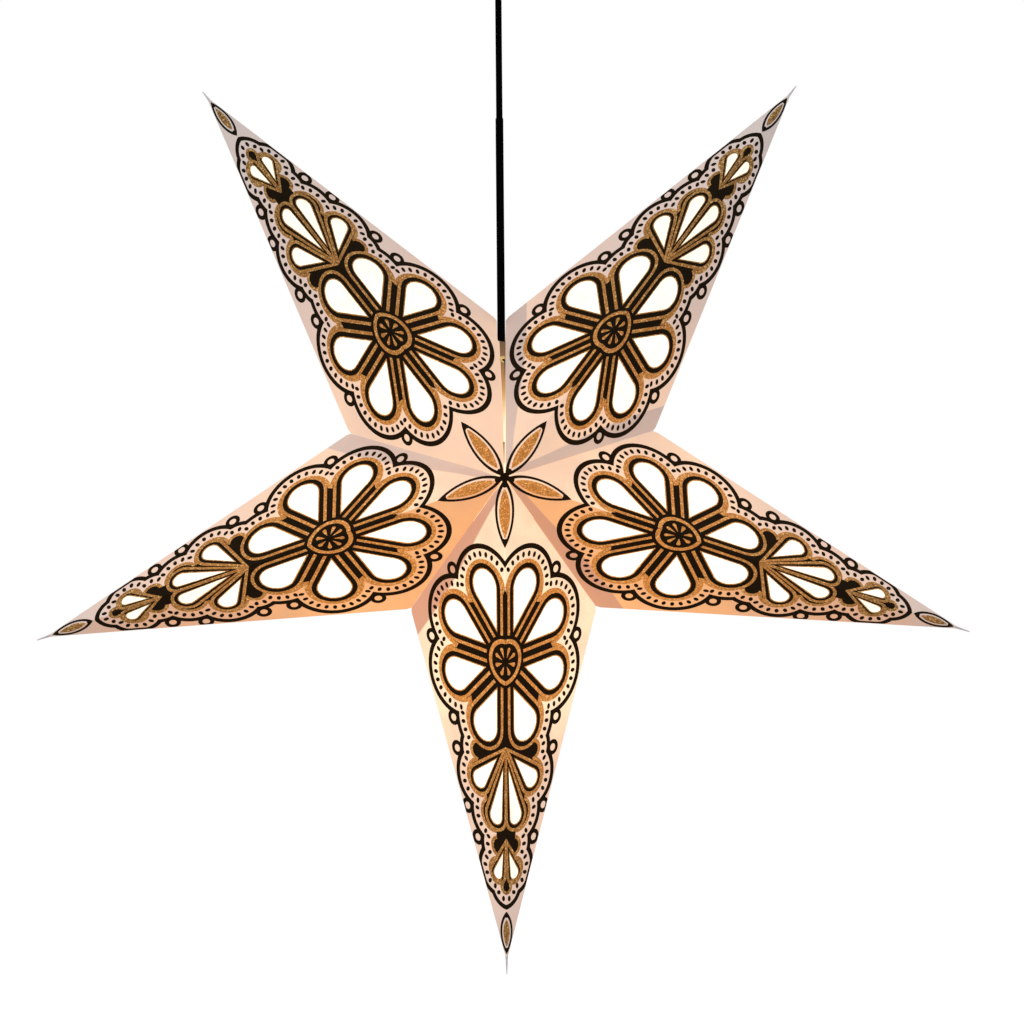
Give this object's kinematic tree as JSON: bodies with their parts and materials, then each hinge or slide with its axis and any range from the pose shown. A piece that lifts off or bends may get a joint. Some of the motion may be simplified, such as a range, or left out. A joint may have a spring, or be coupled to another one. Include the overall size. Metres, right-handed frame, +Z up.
{
  "type": "paper star lantern",
  "caption": "Folding five-pointed paper star pendant with cut-out windows, lit from inside, on a flex from a ceiling cup.",
  "frame": {"origin": "middle of the face that lies against the ceiling", "axes": "+Z up, out of the ceiling face; the front apex of the star points along -Y; +X to the right of someone looking at the front"},
  "size_m": [0.5952, 0.1987, 0.6895],
  "materials": {
    "card": "matt printed card",
    "tissue": "translucent tissue",
    "brass": "polished",
    "string": "twisted",
    "flex": "satin",
    "black_plastic": "satin",
    "ivory_plastic": "moulded",
    "porcelain": "unglazed",
    "aluminium": "pressed",
    "steel": "zinc plated",
    "opal_glass": "opal"
  },
  "bodies": {
    "hanging_set": {"ceiling_bracket": "steel", "terminal_block": "ivory_plastic", "cord_clamp": "black_plastic", "clamp_screws": "steel", "cord": "flex", "cord_sleeve": "flex", "lampholder_grip": "black_plastic", "lampholder_cap": "black_plastic", "lampholder_skirt": "black_plastic", "lampholder_insert": "porcelain", "screw_shell": "brass", "centre_contact": "brass"},
    "cup": {"ceiling_cup": "black_plastic", "cup_grip": "black_plastic"},
    "bulb": {"bulb_globe": "opal_glass", "bulb_base": "aluminium"},
    "bottom_front_left": {"bottom_front_left_panel": "card", "bottom_front_left_tissue": "tissue"},
    "bottom_front_right": {"bottom_front_right_panel": "card", "bottom_front_right_tissue": "tissue"},
    "bottom_back_left": {"bottom_back_left_panel": "card", "bottom_back_left_tissue": "tissue"},
    "bottom_back_right": {"bottom_back_right_panel": "card", "bottom_back_right_tissue": "tissue"},
    "right_front_lower": {"right_front_lower_panel": "card", "right_front_lower_tissue": "tissue"},
    "right_front_upper": {"right_front_upper_panel": "card", "right_front_upper_tissue": "tissue"},
    "right_back_lower": {"right_back_lower_panel": "card", "right_back_lower_tissue": "tissue"},
    "right_back_upper": {"right_back_upper_panel": "card", "right_back_upper_tissue": "tissue"},
    "upper_right_front_right": {"upper_right_front_right_panel": "card", "upper_right_front_right_tissue": "tissue"},
    "upper_right_front_left": {"upper_right_front_left_panel": "card", "upper_right_front_left_tissue": "tissue"},
    "upper_right_back_right": {"upper_right_back_right_panel": "card", "upper_right_back_right_tissue": "tissue"},
    "upper_right_back_left": {"upper_right_back_left_panel": "card", "upper_right_back_left_tissue": "tissue"},
    "left_front_upper": {"left_front_upper_panel": "card", "left_front_upper_tissue": "tissue"},
    "left_front_lower": {"left_front_lower_panel": "card", "left_front_lower_tissue": "tissue"},
    "left_back_upper": {"left_back_upper_panel": "card", "left_back_upper_tissue": "tissue"},
    "left_back_lower": {"left_back_lower_panel": "card", "left_back_lower_tissue": "tissue"},
    "upper_left_front_right": {"upper_left_front_right_panel": "card", "upper_left_front_right_tissue": "tissue", "front_eyelet": "brass", "front_tie_string": "string"},
    "upper_left_front_left": {"upper_left_front_left_panel": "card", "upper_left_front_left_tissue": "tissue"},
    "upper_left_back_right": {"upper_left_back_right_panel": "card", "upper_left_back_right_tissue": "tissue", "back_eyelet": "brass", "back_tie_string": "string"},
    "upper_left_back_left": {"upper_left_back_left_panel": "card", "upper_left_back_left_tissue": "tissue"}
  },
  "joints": [
    {"name": "seam_fold", "type": "hinge", "parent": "hanging_set", "child": "bottom_front_left", "pos_m": [0, -0.1, -0.3755], "axis": [0, 0.3026, -0.9531], "range_deg": [0, 12.32]},
    {"name": "crease_bottom_front_right", "type": "hinge", "parent": "hanging_set", "child": "bottom_front_right", "pos_m": [0, -0.1, -0.3755], "axis": [0, -0.3026, 0.9531], "range_deg": [0, 12.34]},
    {"name": "crease_right_front_lower", "type": "hinge", "parent": "bottom_front_right", "child": "right_front_lower", "pos_m": [0, -0.1, -0.3755], "axis": [0.4204, 0.6931, -0.5856], "range_deg": [0, 25.39]},
    {"name": "crease_right_front_upper", "type": "hinge", "parent": "right_front_lower", "child": "right_front_upper", "pos_m": [0, -0.1, -0.3755], "axis": [-0.9031, -0.3026, 0.3048], "range_deg": [0, 24.66]},
    {"name": "crease_upper_right_front_right", "type": "hinge", "parent": "right_front_upper", "child": "upper_right_front_right", "pos_m": [0, -0.1, -0.3755], "axis": [0.6892, 0.6931, 0.211], "range_deg": [0, 25.39]},
    {"name": "crease_upper_right_front_left", "type": "hinge", "parent": "upper_right_front_right", "child": "upper_right_front_left", "pos_m": [0, -0.1, -0.3755], "axis": [-0.5776, -0.3026, -0.7582], "range_deg": [0, 24.66]},
    {"name": "crease_left_front_lower", "type": "hinge", "parent": "bottom_front_left", "child": "left_front_lower", "pos_m": [0, -0.1, -0.3755], "axis": [0.4204, -0.6931, 0.5856], "range_deg": [0, 25.39]},
    {"name": "crease_left_front_upper", "type": "hinge", "parent": "left_front_lower", "child": "left_front_upper", "pos_m": [0, -0.1, -0.3755], "axis": [-0.9031, 0.3026, -0.3048], "range_deg": [0, 24.66]},
    {"name": "crease_upper_left_front_left", "type": "hinge", "parent": "left_front_upper", "child": "upper_left_front_left", "pos_m": [0, -0.1, -0.3755], "axis": [0.6892, -0.6931, -0.211], "range_deg": [0, 25.39]},
    {"name": "crease_upper_left_front_right", "type": "hinge", "parent": "upper_left_front_left", "child": "upper_left_front_right", "pos_m": [0, -0.1, -0.3755], "axis": [-0.5776, 0.3026, 0.7582], "range_deg": [0, 24.66]},
    {"name": "crease_bottom_back_left", "type": "hinge", "parent": "bottom_front_left", "child": "bottom_back_left", "pos_m": [-0.06065, 0, -0.45998], "axis": [-0.2545, 0, 0.9671], "range_deg": [0, 24.17]},
    {"name": "crease_bottom_back_right", "type": "hinge", "parent": "bottom_front_right", "child": "bottom_back_right", "pos_m": [0.06065, 0, -0.45998], "axis": [-0.2545, 0, -0.9671], "range_deg": [0, 24.17]},
    {"name": "crease_right_back_lower", "type": "hinge", "parent": "right_front_lower", "child": "right_back_lower", "pos_m": [0.06065, 0, -0.45998], "axis": [-0.9977, 0, 0.0682], "range_deg": [0, 24.17]},
    {"name": "crease_right_back_upper", "type": "hinge", "parent": "right_front_upper", "child": "right_back_upper", "pos_m": [0.09944, 0, -0.34505], "axis": [0.8349, 0, -0.5504], "range_deg": [0, 24.17]},
    {"name": "crease_upper_right_back_right", "type": "hinge", "parent": "upper_right_front_right", "child": "upper_right_back_right", "pos_m": [0.09944, 0, -0.34505], "axis": [-0.3836, 0, -0.9235], "range_deg": [0, 24.17]},
    {"name": "crease_upper_right_back_left", "type": "hinge", "parent": "upper_right_front_left", "child": "upper_right_back_left", "pos_m": [0.00295, 0, -0.27154], "axis": [0.7885, 0, 0.6151], "range_deg": [0, 24.17]},
    {"name": "crease_left_back_upper", "type": "hinge", "parent": "left_front_upper", "child": "left_back_upper", "pos_m": [-0.09944, 0, -0.34505], "axis": [0.8349, 0, 0.5504], "range_deg": [0, 24.17]},
    {"name": "crease_left_back_lower", "type": "hinge", "parent": "left_front_lower", "child": "left_back_lower", "pos_m": [-0.06065, 0, -0.45998], "axis": [-0.9977, 0, -0.0682], "range_deg": [0, 24.17]},
    {"name": "crease_upper_left_back_right", "type": "hinge", "parent": "upper_left_front_right", "child": "upper_left_back_right", "pos_m": [-0.00295, 0, -0.27154], "axis": [0.7885, 0, -0.6151], "range_deg": [0, 24.17]},
    {"name": "crease_upper_left_back_left", "type": "hinge", "parent": "upper_left_front_left", "child": "upper_left_back_left", "pos_m": [-0.09944, 0, -0.34505], "axis": [-0.3836, 0, 0.9235], "range_deg": [0, 24.17]},
    {"name": "cup_slide", "type": "slide", "parent": "hanging_set", "child": "cup", "axis": [0, 0, -1], "range_m": [0, 0.08]},
    {"name": "bulb_unscrew", "type": "slide", "parent": "hanging_set", "child": "bulb", "axis": [0, 0, -1], "range_m": [0, 0.024]}
  ],
  "couplings": [
    {"joint": "crease_bottom_front_right", "follows": "seam_fold", "ratio": 1},
    {"joint": "crease_right_front_lower", "follows": "seam_fold", "ratio": 2.0596},
    {"joint": "crease_right_front_upper", "follows": "seam_fold", "ratio": 2},
    {"joint": "crease_upper_right_front_right", "follows": "seam_fold", "ratio": 2.0596},
    {"joint": "crease_upper_right_front_left", "follows": "seam_fold", "ratio": 2},
    {"joint": "crease_left_front_lower", "follows": "seam_fold", "ratio": 2.0596},
    {"joint": "crease_left_front_upper", "follows": "seam_fold", "ratio": 2},
    {"joint": "crease_upper_left_front_left", "follows": "seam_fold", "ratio": 2.0596},
    {"joint": "crease_upper_left_front_right", "follows": "seam_fold", "ratio": 2},
    {"joint": "crease_bottom_back_left", "follows": "seam_fold", "ratio": 1.96},
    {"joint": "crease_bottom_back_right", "follows": "seam_fold", "ratio": 1.96},
    {"joint": "crease_right_back_lower", "follows": "seam_fold", "ratio": 1.96},
    {"joint": "crease_right_back_upper", "follows": "seam_fold", "ratio": 1.96},
    {"joint": "crease_upper_right_back_right", "follows": "seam_fold", "ratio": 1.96},
    {"joint": "crease_upper_right_back_left", "follows": "seam_fold", "ratio": 1.96},
    {"joint": "crease_left_back_upper", "follows": "seam_fold", "ratio": 1.96},
    {"joint": "crease_left_back_lower", "follows": "seam_fold", "ratio": 1.96},
    {"joint": "crease_upper_left_back_right", "follows": "seam_fold", "ratio": 1.96},
    {"joint": "crease_upper_left_back_left", "follows": "seam_fold", "ratio": 1.96}
  ]
}
